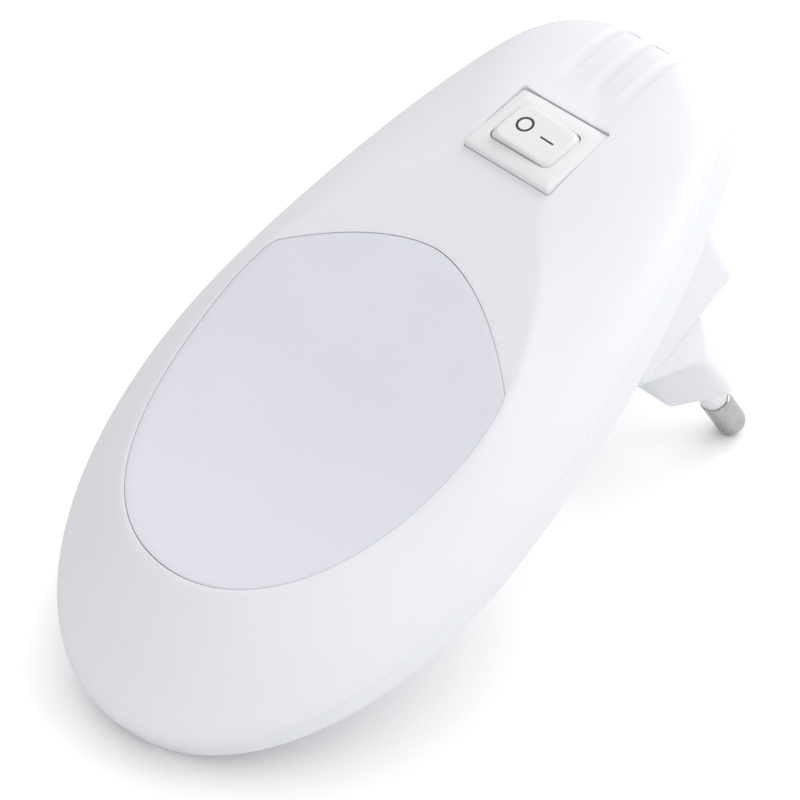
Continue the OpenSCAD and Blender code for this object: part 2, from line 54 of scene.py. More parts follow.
def tilted(angle):
    """The upward normal of a sheet tilted by an angle, and how far the cover and a pin reach down to it."""
    normal = Vector((0, -math.cos(angle), math.sin(angle)))
    resting = [nodes[name].data.vertices for name in ("rear_cover", "pin_right")]
    return normal, [min(v.co.dot(normal) for v in verts) for verts in resting]


steep, flat = math.radians(20), math.radians(45)
while flat - steep > 1e-5:
    floor_tilt = (steep + flat) / 2
    floor_normal, (cover_reach, pin_reach) = tilted(floor_tilt)
    if cover_reach < pin_reach:
        flat = floor_tilt
    else:
        steep = floor_tilt
floor_height = min(cover_reach, pin_reach)


def link(obj):
    """Puts an object into the scene."""
    bpy.context.scene.collection.objects.link(obj)
    return obj


def new_object(name, bm):
    """Makes a mesh object of bm, with outward normals, and frees bm."""
    bmesh.ops.recalc_face_normals(bm, faces=bm.faces)
    mesh = bpy.data.meshes.new(name)
    bm.to_mesh(mesh)
    bm.free()
    return link(bpy.data.objects.new(name, mesh))


def new_material(name, colour=(0.8, 0.8, 0.8), roughness=0.5, specular=0.5, metallic=0.0):
    """A material with one Principled BSDF; returns it with its nodes, links and shader."""
    material = bpy.data.materials.new(name)
    material.use_nodes = True
    tree = material.node_tree
    shader = tree.nodes["Principled BSDF"]
    shader.inputs["Base Color"].default_value = (*colour, 1)
    shader.inputs["Roughness"].default_value = roughness
    shader.inputs["Specular IOR Level"].default_value = specular
    shader.inputs["Metallic"].default_value = metallic
    return material, tree.nodes, tree.links, shader


def give(obj, material):
    """Makes a material the object's only one."""
    obj.data.materials.clear()
    obj.data.materials.append(material)


def math_node(tree, operation, a, b, clamp=False):
    """One Math node; a and b are sockets or numbers. Returns its output."""
    node = tree.nodes.new("ShaderNodeMath")
    node.operation = operation
    node.use_clamp = clamp
    for socket, value in zip(node.inputs, (a, b)):
        if isinstance(value, (int, float)):
            socket.default_value = value
        else:
            tree.links.new(value, socket)
    return node.outputs[0]


def mix_colours(tree, share, first, second):
    """Mixes from the first to the second colour, triples or sockets, by a share. Returns the output."""
    node = tree.nodes.new("ShaderNodeMix")
    node.data_type = "RGBA"
    tree.links.new(share, node.inputs["Factor"])
    for name, value in (("A", first), ("B", second)):
        if isinstance(value, tuple):
            node.inputs[name].default_value = (*value, 1)
        else:
            tree.links.new(value, node.inputs[name])
    return node.outputs["Result"]


def mix_shaders(tree, share, first, second):
    """Mixes from the first to the second shader by a share. Returns the output."""
    node = tree.nodes.new("ShaderNodeMixShader")
    for socket, value in zip(node.inputs, (share, first, second)):
        tree.links.new(value, socket)
    return node.outputs[0]


sheet_bm = bmesh.new()
bmesh.ops.create_circle(sheet_bm, cap_ends=True, segments=96, radius=2.4)
sheet_turn = floor_normal.to_track_quat("Z", "Y").to_matrix().to_4x4()
bmesh.ops.transform(sheet_bm, matrix=Matrix.Translation(floor_normal * floor_height) @ sheet_turn,
                    verts=sheet_bm.verts)
floor = new_object("floor_sheet", sheet_bm)
if floor.data.polygons[0].normal.dot(floor_normal) < 0:
    floor.data.flip_normals()

# To the camera the paper is half as light and glows by itself, so that it looks evenly white; where something
# stands close over it the glow is dimmed, a painted shade round the case.
paper_white, paper_seen, paper_glow, shade_reach = (0.86, 0.865, 0.885), (0.45, 0.453, 0.46), 0.8, 30 * MM
paper, n, l, shader = new_material("white_paper", paper_white, 0.9, 0.2)
tree = paper.node_tree
seen = n.new("ShaderNodeLightPath").outputs["Is Camera Ray"]
l.new(mix_colours(tree, seen, paper_white, paper_seen), shader.inputs["Base Color"])
# Painted shade: ambient occlusion over a short reach dims the paper's glow next to the case.
close = n.new("ShaderNodeAmbientOcclusion")
close.inputs["Distance"].default_value = shade_reach
glow = n.new("ShaderNodeEmission")
glow_share_with_painted_shade = math_node(tree, "MULTIPLY", seen, close.outputs["AO"])
l.new(math_node(tree, "MULTIPLY", glow_share_with_painted_shade, paper_glow), glow.inputs["Strength"])
lit = n.new("ShaderNodeAddShader")
l.new(shader.outputs[0], lit.inputs[0])
l.new(glow.outputs[0], lit.inputs[1])
from_below = math_node(tree, "MULTIPLY", seen, n.new("ShaderNodeNewGeometry").outputs["Backfacing"])
see_through = n.new("ShaderNodeBsdfTransparent").outputs[0]
l.new(mix_shaders(tree, from_below, lit.outputs[0], see_through), n["Material Output"].inputs["Surface"])
give(floor, paper)

# ---- Room ----
# Even light from all round, as inside a white tent. The camera itself sees plain white behind the
# sheet, so that no horizon shows.
world = bpy.data.worlds.new("studio")
bpy.context.scene.world = world
world.use_nodes = True
tree = world.node_tree
backdrop = tree.nodes["Background"]
backdrop.inputs["Color"].default_value = (1, 1, 1, 1)
room = tree.nodes.new("ShaderNodeBackground")
room.inputs["Color"].default_value = (1, 1, 1, 1)
room.inputs["Strength"].default_value = 0.6
seen = tree.nodes.new("ShaderNodeLightPath").outputs["Is Camera Ray"]
tree.links.new(mix_shaders(tree, seen, room.outputs[0], backdrop.outputs[0]),
               tree.nodes["World Output"].inputs["Surface"])
bpy.context.scene.view_settings.view_transform = "Standard"

# ---- Camera ----
# A long lens above the front face, to the right of it and level with the wide bottom end. Its own
# right and up directions also place the lamps.
camera_data = bpy.data.cameras.new("camera")
camera = link(bpy.data.objects.new("camera", camera_data))
camera_at = Vector((181.8, -274.0, -56.7)) * MM
camera_view = Vector((-0.5932, 0.7995, 0.0938)).normalized()
camera_right = Vector((0.6582, 0.4146, 0.6284))
camera_right = (camera_right - camera_view * camera_right.dot(camera_view)).normalized()
camera_up = camera_right.cross(camera_view)
camera_data.sensor_width = 36
camera_data.lens = 118.4
camera_data.clip_start = 0.01
camera_axes = Matrix((camera_right, camera_up, -camera_view)).transposed()
camera.matrix_world = Matrix.Translation(camera_at) @ camera_axes.to_4x4()
bpy.context.scene.camera = camera

# ---- Lamps ----
# Three wide soft lamps, all aimed at the middle of the case: one beyond the top end, one at the
# upper right, and one behind the camera.


def lamp(name, across, upward, towards, size, power, distance=0.9):
    """A round area lamp placed by the camera's own directions and aimed at the light."""
    data = bpy.data.lights.new(name, "AREA")
    data.shape = "DISK"
    data.size = size
    data.energy = power
    obj = link(bpy.data.objects.new(name, data))
    middle = Vector((0, -35, -25)) * MM
    away = (camera_right * across + camera_up * upward - camera_view * towards).normalized()
    turn = away.to_track_quat("Z", "Y").to_matrix().to_4x4()
    obj.matrix_world = Matrix.Translation(middle + away * distance) @ turn


lamp("behind", across=0.4, upward=0.8, towards=0, size=0.7, power=3.0)
lamp("right", across=0.7, upward=0.5, towards=0.5, size=0.5, power=1.9)
lamp("front", across=0, upward=0, towards=1, size=0.8, power=1.8)

# ---- Front shell ----
# The front half of the case, one injection-moulded piece of cool white ABS with a fine satin grain.
# Its flank stands upright at the parting line and rolls into the front face at a soft crease that
# sharpens beside the window; three shallow grip flutes run over the top end.
half_w, bottom_z, top_z, wide_z = 28.1, -77.1, 23.1, -38.1
shoulder = (17.4, 13.5)
lean_x, lean_z = -0.42, 0.91
part_y, face_y, wall = -33.8, -41.3, 1.8
face_half_w, face_bottom_z = 21.4, -60.4
chin_z, chin_reach, chin_drop = -30.8, 30, 3.6
roll_z, roll_reach, roll_drop = -4.8, 28, 8.3
flank_steps, flank_first, flank_crowd, flank_power = 30, 0.02, 0.8, 2.6
soft_z, soft_reach, soft_step = -12, 12, 0.45
flute_pitch, flute_half, flute_deep, flute_z = 4.6, 1.05, 0.2, 12.4
switch_z, bezel_w, bezel_h = 4.25, 14.1, 10.2
case_white = (0.856, 0.868, 0.90)


def cubic(p, t):
    """Point on a cubic curve of four points, at a share of its way."""
    s = 1 - t
    return Vector([s ** 3 * a + 3 * s * s * t * b + 3 * s * t * t * c + t ** 3 * d for a, b, c, d in zip(*p)])


def half_line(curves, counts):
    """Points along a chain of cubic curves, from the bottom end to the top end."""
    points = [cubic(c, i / k) for c, k in zip(curves, counts) for i in range(k)]
    return points + [Vector(curves[-1][3])]


# Each curve has its two ends and, between them, its two handles.
body_curves = [
    [(0, bottom_z), (0.55 * half_w, bottom_z),
     (half_w, wide_z - 0.56 * (wide_z - bottom_z)), (half_w, wide_z)],
    [(half_w, wide_z), (half_w, wide_z + 16.9),
     (shoulder[0] - 14.3 * lean_x, shoulder[1] - 14.3 * lean_z), shoulder],
    [shoulder, (shoulder[0] + 8.6 * lean_x, shoulder[1] + 8.6 * lean_z), (8, top_z), (0, top_z)]]
face_wide_z, face_top_z = wide_z + 8.1, switch_z + 8.35
face_neck = (bezel_w / 2 - 0.15, switch_z - 5.5)
face_curves = [
    [(0, face_bottom_z), (0.65 * face_half_w, face_bottom_z),
     (face_half_w, face_wide_z - 0.56 * (face_wide_z - face_bottom_z)), (face_half_w, face_wide_z)],
    [(face_half_w, face_wide_z), (face_half_w, face_wide_z + 15.9),
     (face_neck[0] + 0.38, face_neck[1] - 1.86), face_neck],
    [face_neck, (face_neck[0] - 1.2, face_neck[1] + 5.88), (6, face_top_z), (0, face_top_z)]]
curve_counts = (44, 44, 96)
body_line = half_line(body_curves, curve_counts)
face_line = half_line(face_curves, curve_counts)


def inward(line):
    """Unit normals of a half outline that point into it."""
    last = len(line) - 1
    out = [Vector((0, 1))]
    for i in range(1, last):
        d = line[i + 1] - line[i - 1]
        out.append(Vector((-d.y, d.x)).normalized())
    return out + [Vector((0, -1))]


body_in = inward(body_line)


def front_y(z):
    """Depth of the front face at a height: it drops back below the chin and, more, over the top end."""
    return (face_y - chin_drop * max(0, (chin_z - z) / chin_reach) ** 2
            + roll_drop * max(0, (z - roll_z) / roll_reach) ** 2)


def ease(x):
    """Rises smoothly from 0 to 1 while x does."""
    x = min(1, max(0, x))
    return x * x * (3 - 2 * x)


def mirrored(half):
    """A closed ring of points from its right half."""
    return half + [Vector((-p.x, *p[1:])) for p in half[-2:0:-1]]


def loft(bm, rings, first_cap=True, last_cap=True):
    """Skins a list of equal rings in millimetres; each ring is the last one's edge loop, extruded."""
    verts = [bm.verts.new(Vector(p) * MM) for p in rings[0]]
    edges = [bm.edges.new((verts[i - 1], verts[i])) for i in range(len(verts))]
    if first_cap:
        bm.faces.new(verts)
    for ring in rings[1:]:
        made = bmesh.ops.extrude_edge_only(bm, edges=edges)["geom"]
        old = dict(zip(verts, range(len(verts))))
        step = {}
        for face in (g for g in made if isinstance(g, bmesh.types.BMFace)):
            for v in face.verts:
                if v not in old:
                    step.update({old[w]: v for e in v.link_edges for w in [e.other_vert(v)] if w in old})
        verts = [step[i] for i in range(len(ring))]
        edges = [bm.edges.get((verts[i - 1], verts[i])) for i in range(len(verts))]
        for v, p in zip(verts, ring):
            v.co = Vector(p) * MM
    if last_cap:
        bm.faces.new(verts)


def profile(i):
    """Cross section of the skin at outline point i, from the parting line to the middle of the face.

    The points beside the crease are averaged with their neighbours, with more of them at the top end.
    """
    foot, edge = body_line[i], face_line[i]
    seam_edge = ((0.1, 0), (0.02, 0.03), (0, 0.1))
    line = [Vector((*(foot + inset * body_in[i]), part_y - rise)) for inset, rise in seam_edge]
    for j in range(1, flank_steps + 1):
        share = flank_first + (1 - flank_first) * (j / flank_steps) ** flank_crowd
        p = foot + (edge - foot) * share ** flank_power
        line.append(Vector((*p, part_y + (front_y(edge.y) - part_y) * share)))
    crease = len(line) - 1
    for share in [0.985, 0.965] + [0.94 - 0.03 * k for k in range(31)]:
        z = chin_z + (edge.y - chin_z) * share
        line.append(Vector((edge.x * share, z, front_y(z))))
    soft = 1 + ease((edge.y - soft_z) / soft_reach)
    softened = []
    for j, p in enumerate(line):
        reach = int(max(0, soft - abs(j - crease) * soft_step))
        reach = min(reach, j, len(line) - 1 - j) if j > 1 else 0
        near = line[j - reach:j + reach + 1]
        softened.append(sum(near, Vector((0, 0, 0))) / len(near))
    return softened


def flute_depth(x, z):
    """Depth of the three grip flutes at a place on the top end."""
    lane = x - flute_pitch * max(-1, min(1, round(x / flute_pitch)))
    return flute_deep * max(0, 1 - (lane / flute_half) ** 2) ** 1.2 * ease((z - flute_z) / 2.6)


profiles = [profile(i) for i in range(len(body_line))]
skin_rings = []
for j in range(len(profiles[0])):
    half = []
    for i, line in enumerate(profiles):
        p = line[j]
        before, after = line[max(0, j - 1)], line[min(len(line) - 1, j + 1)]
        tangent = Vector((after.x - before.x, after.z - before.z, after.y - before.y)).normalized()
        deep = flute_depth(p.x, p.y)
        sink = Vector((0, abs(tangent.z), -abs(tangent.y))) * deep
        half.append(Vector((max(0, p.x), p.z, p.y)) + sink)
    skin_rings.append(mirrored(half))
bm = bmesh.new()
loft(bm, skin_rings, first_cap=False)
shell = new_object("shell", bm)
solid = shell.modifiers.new("wall", "SOLIDIFY")
solid.thickness = wall * MM
solid.offset = -1


def corner_arc(points, radius):
    """Rounds the sharpest corner of a line of 2-D points with a short curve."""
    steps = [q - p for p, q in zip(points, points[1:])]
    turns = [p.angle(q) for p, q in zip(steps, steps[1:])]
    k = turns.index(max(turns)) + 1
    before = [p for p in points[:k] if (p - points[k]).length > radius]
    after = [p for p in points[k + 1:] if (p - points[k]).length > radius]
    a, b, c = before[-1], points[k], after[0]
    bend = [(1 - t) ** 2 * a + 2 * t * (1 - t) * b + t * t * c for t in (0.15, 0.35, 0.5, 0.65, 0.85)]
    return before + bend + after


corner_z, arc_z, arc_half, arc_power, arc_steps = -22.8, -12.85, 20.3, 1.74, 36
border, corner_r = 0.35, 0.5
face_in = inward(face_line)


def window_top(x):
    """Height of the window's arched upper edge."""
    return arc_z - (arc_z - corner_z) * (x / arc_half) ** arc_power


def window_line(inset):
    """Half outline of the window: the front face's U, then the arc across it, joined by a round corner."""
    low = [p + (border + inset) * d for p, d in zip(face_line, face_in)]
    low = [p for p in low if p.y < -15 and p.y < window_top(p.x) - inset]
    across = [low[-1].x * (1 - i / arc_steps) for i in range(1, arc_steps + 1)]
    return corner_arc(low + [Vector((x, window_top(x) - inset)) for x in across], corner_r)


def settle(obj, *cutters):
    """Applies an object's modifiers to its mesh and takes the cutters out of the scene."""
    made = bpy.data.meshes.new_from_object(obj.evaluated_get(bpy.context.evaluated_depsgraph_get()))
    obj.modifiers.clear()
    obj.data = made
    for cutter in cutters:
        bpy.data.objects.remove(cutter)


def cut(obj, cutter):
    """Takes the cutter's shape out of the object, once the modifiers are settled."""
    tool = obj.modifiers.new("cut", "BOOLEAN")
    tool.operation = "DIFFERENCE"
    tool.solver = "EXACT"
    tool.object = cutter


def smooth(obj, degrees):
    """Smooth shading, with sharp edges where two faces meet at more than the angle."""
    bm = bmesh.new()
    bm.from_mesh(obj.data)
    for face in bm.faces:
        face.smooth = True
    for edge in bm.edges:
        edge.smooth = len(edge.link_faces) == 2 and edge.calc_face_angle() < math.radians(degrees)
    bm.to_mesh(obj.data)
    bm.free()


bm = bmesh.new()
loft(bm, [[Vector((p.x, y, p.y)) for p in mirrored(window_line(0))] for y in (part_y + 2, face_y - 10)])
window_cutter = new_object("window_cutter", bm)

switch_tilt = math.radians(15.5)
switch_at = Vector((0, front_y(switch_z) + 0.05, switch_z)) * MM
switch_frame = Matrix.Translation(switch_at) @ Matrix.Rotation(-switch_tilt, 4, "X")


def round_loop(w, h, r, y, per=8):
    """A rounded rectangle of points in X and Z at depth y."""
    points = []
    for q in range(4):
        cx, cz = (w / 2 - r) * (1, -1, -1, 1)[q], (h / 2 - r) * (1, 1, -1, -1)[q]
        for i in range(per + 1):
            a = math.pi / 2 * (q + i / per)
            points.append(Vector((cx + r * math.cos(a), y, cz + r * math.sin(a))))
    return points


bm = bmesh.new()
loft(bm, [round_loop(bezel_w + 0.24, bezel_h + 0.24, 0.4, y) for y in (-4, 6)])
bmesh.ops.transform(bm, matrix=switch_frame, verts=bm.verts)
switch_cutter = new_object("switch_cutter", bm)
cut(shell, window_cutter)
cut(shell, switch_cutter)
edge_round = shell.modifiers.new("edge", "BEVEL")
edge_round.width = 0.14 * MM
edge_round.segments = 2
edge_round.limit_method = "ANGLE"
edge_round.angle_limit = math.radians(55)
settle(shell, window_cutter, switch_cutter)
smooth(shell, 40)
even = shell.modifiers.new("even", "WEIGHTED_NORMAL")
even.keep_sharp = True
even.weight = 100


def group(name, sockets_in, sockets_out):
    """A shader node group with its input and output sockets; returns the tree and its two ends."""
    tree = bpy.data.node_groups.new(name, "ShaderNodeTree")
    for label, kind, value in sockets_in:
        tree.interface.new_socket(label, in_out="INPUT", socket_type=kind).default_value = value
    for label, kind in sockets_out:
        tree.interface.new_socket(label, in_out="OUTPUT", socket_type=kind)
    return tree, tree.nodes.new("NodeGroupInput"), tree.nodes.new("NodeGroupOutput")


def noise(tree, place, size, detail=2.0):
    """Noise whose features are about size metres across, at object coordinates."""
    node = tree.nodes.new("ShaderNodeTexNoise")
    node.inputs["Scale"].default_value = 1 / size
    node.inputs["Detail"].default_value = detail
    tree.links.new(place, node.inputs["Vector"])
    return node.outputs["Fac"]


# Spark-eroded mould grain: fine pits in two sizes, with a slow drift of gloss and tone.
mould_grain, given, result = group(
    "mould_grain",
    [("Colour", "NodeSocketColor", (0.8, 0.8, 0.8, 1)), ("Roughness", "NodeSocketFloat", 0.4),
     ("Pits", "NodeSocketFloat", 0.3)],
    [("Colour", "NodeSocketColor"), ("Roughness", "NodeSocketFloat"), ("Normal", "NodeSocketVector")])
tree = mould_grain
place = tree.nodes.new("ShaderNodeTexCoord").outputs["Object"]
fine, coarse = noise(tree, place, 0.16 * MM), noise(tree, place, 0.6 * MM)
bump = tree.nodes.new("ShaderNodeBump")
bump.inputs["Distance"].default_value = 0.02 * MM
tree.links.new(given.outputs["Pits"], bump.inputs["Strength"])
tree.links.new(math_node(tree, "ADD", fine, math_node(tree, "MULTIPLY", coarse, 0.8)), bump.inputs["Height"])
tree.links.new(bump.outputs[0], result.inputs["Normal"])
drift = math_node(tree, "SUBTRACT", noise(tree, place, 14 * MM, 4), 0.5)
gloss = math_node(tree, "MULTIPLY", drift, 0.16)
tree.links.new(math_node(tree, "ADD", given.outputs["Roughness"], gloss), result.inputs["Roughness"])
tone = tree.nodes.new("ShaderNodeHueSaturation")
shade = math_node(tree, "MULTIPLY", drift, 0.05)
tree.links.new(math_node(tree, "ADD", shade, 1.0), tone.inputs["Value"])
tree.links.new(given.outputs["Colour"], tone.inputs["Color"])
tree.links.new(tone.outputs[0], result.inputs["Colour"])


def moulded(name, colour, roughness, pits, specular=0.5):
    """Moulded plastic: the grain group on a Principled shader."""
    material, n, l, shader = new_material(name, colour, roughness, specular)
    grain = n.new("ShaderNodeGroup")
    grain.node_tree = mould_grain
    grain.inputs["Colour"].default_value = (*colour, 1)
    grain.inputs["Roughness"].default_value = roughness
    grain.inputs["Pits"].default_value = pits
    l.new(grain.outputs["Colour"], shader.inputs["Base Color"])
    l.new(grain.outputs["Roughness"], shader.inputs["Roughness"])
    l.new(grain.outputs["Normal"], shader.inputs["Normal"])
    return material


case_plastic = moulded("case_plastic", case_white, 0.42, 0.28)
give(shell, case_plastic)
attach(shell, "case")
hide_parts("front_shell")

# ---- Window ----
# A flush panel of opal polycarbonate, pressed into its seat from the front. It is a little greyer
# and smoother than the case, lets light through, and has a fine round edge beside a hairline seam.
seam, window_t, window_mid_z = 0.07, 1.4, -36
shares = (0.96, 0.9, 0.8, 0.65, 0.5, 0.35, 0.2, 0.08)


def window_ring(inset, sink):
    """Ring along the window's outline, inset from it and sunk below the front face."""
    return mirrored([Vector((p.x, front_y(p.y) + sink, p.y)) for p in window_line(inset)])


def towards_middle(ring, share, sink=0.0):
    """The ring shrunk towards the window's middle, and laid back at its depth below the front face."""
    heights = [window_mid_z + (p.z - window_mid_z) * share for p in ring]
    return [Vector((p.x * share, front_y(z) + sink, z)) for p, z in zip(ring, heights)]


bm = bmesh.new()
edge_ring, back_ring = window_ring(seam + 0.17, 0), window_ring(seam + 0.2, window_t)
loft(bm, [towards_middle(back_ring, s, window_t) for s in shares[::-1]]
     + [back_ring, window_ring(seam, window_t - 0.2), window_ring(seam, 0.15), window_ring(seam + 0.02, 0.07),
        window_ring(seam + 0.07, 0.02), edge_ring]
     + [towards_middle(edge_ring, s) for s in shares])
window = new_object("window", bm)
smooth(window, 50)
opal = moulded("opal_polycarbonate", (0.795, 0.802, 0.885), 0.36, 0.1)
opal_shader = opal.node_tree.nodes["Principled BSDF"]
opal_shader.inputs["Subsurface Weight"].default_value = 0.25
opal_shader.inputs["Subsurface Radius"].default_value = (0.9, 0.9, 1.0)
opal_shader.inputs["Subsurface Scale"].default_value = 1.5 * MM
give(window, opal)
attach(window, "case")
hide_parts("diffuser")

# ---- Rear cover ----
# The back half of the case, moulded in the same white ABS: a shallow tray whose edge shows as a thin
# band below the parting line, rounded at the back, with three sunk screw seats.
standoff, back_lean, rim_r, plate_t = 30.9, 1.7, 0.7, 2.0
screw_at = [(0, -66.8), (-19.9, -12.8), (19.9, -12.8)]


def back_plane(z):
    """Depth of the back, which leans: the band is deeper towards the top end."""
    return back_lean * (z - bottom_z) / (top_z - bottom_z) - standoff


def cover_ring(inset, y=None, lift=0.0):
    """Ring round the cover, at a depth or at a distance from the leaning back."""
    line = [p + inset * d for p, d in zip(body_line, body_in)]
    return mirrored([Vector((p.x, back_plane(p.y) + lift if y is None else y, p.y)) for p in line])


def fan(ring, shares=(0.8, 0.55, 0.3, 0.08)):
    """Rings that close a flat side towards the middle of a ring."""
    middle = (ring[0] + ring[len(ring) // 2]) / 2
    return [[middle + (p - middle) * s for p in ring] for s in shares]


def circle(x, y, z, r, count=40):
    """Ring in X and Z about a middle."""
    angles = [math.tau * i / count for i in range(count)]
    return [Vector((x + r * math.cos(a), y, z + r * math.sin(a))) for a in angles]


bm = bmesh.new()
inner, outer = cover_ring(wall + 0.02, lift=-plate_t), cover_ring(rim_r)
round_rings = [cover_ring(rim_r * (1 - math.sin(a)), lift=-rim_r * (1 - math.cos(a)))
               for a in map(math.radians, range(15, 91, 15))]
loft(bm, fan(inner)[::-1] + [inner, cover_ring(wall, part_y + 0.1), cover_ring(wall - 0.1, part_y),
                             cover_ring(0.08, part_y), cover_ring(0, part_y + 0.05)]
     + round_rings[::-1] + [outer] + fan(outer))
tray = new_object("rear_tray", bm)
cutters = []
seat = ((2.9, 0.3), (2.5, -0.1), (2.5, -1.4), (0.3, -1.4))
for x, z in screw_at:
    bm = bmesh.new()
    loft(bm, [circle(x, back_plane(z) + y, z, r) for r, y in seat])
    cutters.append(new_object("screw_seat_cutter", bm))
    cut(tray, cutters[-1])
settle(tray, *cutters)
smooth(tray, 40)
cover_plastic = moulded("cover_plastic", case_white, 0.4, 0.28)
give(tray, cover_plastic)
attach(tray, "case")
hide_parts("rear_cover")

# ---- Neck ----
# The drafted box that stands the case off the wall, moulded in one with the back cover. Its long
# edges are round, its foot meets the cover in a small fillet, and a step shows where the nose begins.
neck_end, neck_low, neck_top, neck_draft = -12.0, -8.8, 10.2, 0.4
end_half, foot_half, edge_r = 14.6, 15.5, 0.9
foot_y = back_plane(0)


def neck_ring(y, grow=0.0, r=2.0):
    """Rounded rectangle round the drafted neck at a depth, grown by a margin."""
    share = (neck_end - y) / (neck_end - foot_y)
    half = end_half + (foot_half - end_half) * share + grow
    low, top = neck_low - neck_draft * share - grow, neck_top + neck_draft * share + grow
    return [p + Vector((0, 0, (low + top) / 2)) for p in round_loop(2 * half, top - low, r + grow, y, 10)]


bm = bmesh.new()
fillet = [neck_ring(foot_y + edge_r * (1 - math.sin(a)), edge_r * (1 - math.cos(a)))
          for a in map(math.radians, range(90, -1, -18))]
end_round = [neck_ring(neck_end - edge_r * (1 - math.sin(a)), -edge_r * (1 - math.cos(a)))
             for a in map(math.radians, (0, 20, 40, 60, 80, 90))]
loft(bm, [neck_ring(foot_y - 0.3, edge_r)] + fillet
     + [neck_ring(y) for y in (-27, -23, -19, -15, neck_end - 1)] + end_round)
neck = new_object("neck", bm)
smooth(neck, 40)
give(neck, cover_plastic)
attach(neck, "case")
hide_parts("rear_cover")

# ---- Plug nose ----
# The part that enters the socket, moulded in harder white polycarbonate: six-sided with a blunt ridge
# level with the pins, flaring out of a deeper root on the neck; two sleeve holes in its face.
nose_half, nose_high, root_half = 17.1, 5.8, end_half - 0.4
pin_x, sleeve_r = 9.5, 1.8


def eight_sided(y, right):
    """Ring at a depth from the four corners of its right half; two of them blunt the ridge."""
    return [Vector((x, y, z)) for x, z in right] + [Vector((-x, y, z)) for x, z in right[::-1]]


def nose_corners(half):
    """The corners of the nose's right half, where it is half wide at its ridge."""
    return [(0.38 * half, nose_high), (half, 0.3), (half, -1), (0.68 * half, -nose_high - 0.3)]


root = [(root_half - 6, nose_high - 0.4), (root_half, 3.6), (root_half, neck_low + 1),
        (root_half - 1, neck_low + 0.4)]
bm = bmesh.new()
loft(bm, [eight_sided(neck_end, root), eight_sided(neck_end + 3, nose_corners(nose_half - 0.4)),
          eight_sided(0, nose_corners(nose_half))])
nose = new_object("plug_nose_body", bm)
nose_round = nose.modifiers.new("edges", "BEVEL")
nose_round.width = edge_r * MM
nose_round.segments = 5
cutters = []
hole = ((sleeve_r + 0.35, 0.3), (sleeve_r + 0.05, 0), (sleeve_r + 0.05, -2), (0.3, -2))
for x in (-pin_x, pin_x):
    bm = bmesh.new()
    loft(bm, [circle(x, y, 0, r) for r, y in hole])
    cutters.append(new_object("sleeve_hole_cutter", bm))
    cut(nose, cutters[-1])
settle(nose, *cutters)
smooth(nose, 38)
plug_plastic = moulded("plug_polycarbonate", (0.84, 0.85, 0.875), 0.34, 0.15)
give(nose, plug_plastic)
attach(nose, "case")
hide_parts("plug_nose")

# ---- Pins ----
# Two solid brass pins with nickel plate, turned and drawn, with round tips. The plate is worn a
# little darker and streaked along the pin, where it slides in and out of a socket.
drawn_metal, given, result = group(
    "drawn_metal", [("Streak", "NodeSocketFloat", 1.0)],
    [("Roughness", "NodeSocketFloat"), ("Wear", "NodeSocketFloat"), ("Normal", "NodeSocketVector")])
tree = drawn_metal
place = tree.nodes.new("ShaderNodeTexCoord").outputs["Object"]
squeeze = tree.nodes.new("ShaderNodeVectorMath")
squeeze.operation = "MULTIPLY"
squeeze.inputs[1].default_value = (1, 0.06, 1)
tree.links.new(place, squeeze.inputs[0])
lines = noise(tree, squeeze.outputs[0], 0.12 * MM, 3)
uneven = math_node(tree, "MULTIPLY", lines, 0.22)
tree.links.new(math_node(tree, "ADD", uneven, 0.16), result.inputs["Roughness"])
patches = math_node(tree, "SUBTRACT", noise(tree, place, 1.6 * MM, 4), 0.42, True)
tree.links.new(math_node(tree, "MULTIPLY", patches, 2.2, True), result.inputs["Wear"])
bump = tree.nodes.new("ShaderNodeBump")
bump.inputs["Distance"].default_value = 0.01 * MM
tree.links.new(given.outputs["Streak"], bump.inputs["Strength"])
tree.links.new(lines, bump.inputs["Height"])
tree.links.new(bump.outputs[0], result.inputs["Normal"])


def drawn(name, colour, worn, streak=0.5):
    """Bare metal with draw lines: bright where it is new, darker in worn patches."""
    material, n, l, shader = new_material(name, colour, 0.25, 0.5, 1.0)
    lines = n.new("ShaderNodeGroup")
    lines.node_tree = drawn_metal
    lines.inputs["Streak"].default_value = streak
    l.new(mix_colours(material.node_tree, lines.outputs["Wear"], colour, worn), shader.inputs["Base Color"])
    l.new(lines.outputs["Roughness"], shader.inputs["Roughness"])
    l.new(lines.outputs["Normal"], shader.inputs["Normal"])
    return material


def turned(name, x, outline, closed=False):
    """A piece of revolution: an outline of radii and depths, spun about the axis of a pin at x."""
    bm = bmesh.new()
    verts = [bm.verts.new(Vector((x + r, y, 0)) * MM) for r, y in outline]
    edges = [bm.edges.new(pair) for pair in zip(verts, verts[1:] + verts[:1] * closed)]
    bmesh.ops.spin(bm, geom=verts + edges, cent=Vector((x, 0, 0)) * MM, axis=(0, 1, 0), angle=math.tau,
                   steps=56, use_merge=True)
    bmesh.ops.remove_doubles(bm, verts=bm.verts, dist=0.004 * MM)
    obj = new_object(name, bm)
    smooth(obj, 35)
    return obj


nickel = drawn("nickel_plate", (0.54, 0.525, 0.51), (0.44, 0.425, 0.41), 0.2)
pin_r, tip_r = 2.0, 1.6
pin_shank = [(0, -16.0), (0.8, -16.0), (1.0, -15.8), (1.0, -9.8), (1.45, -9.8), (1.45, 9.98),
             (pin_r - 0.1, 9.98), (pin_r, 10.08)]
for name, x in (("pin_left", -pin_x), ("pin_right", pin_x)):
    pin_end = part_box(name)[1].y / MM
    tip = [(pin_r - tip_r * (1 - math.cos(a)), pin_end - tip_r * (1 - math.sin(a)))
           for a in map(math.radians, range(0, 91, 9))]
    pin = turned(name + "_turned", x, pin_shank + tip + [(0, pin_end)])
    give(pin, nickel)
    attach(pin, "case")
    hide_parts(name)

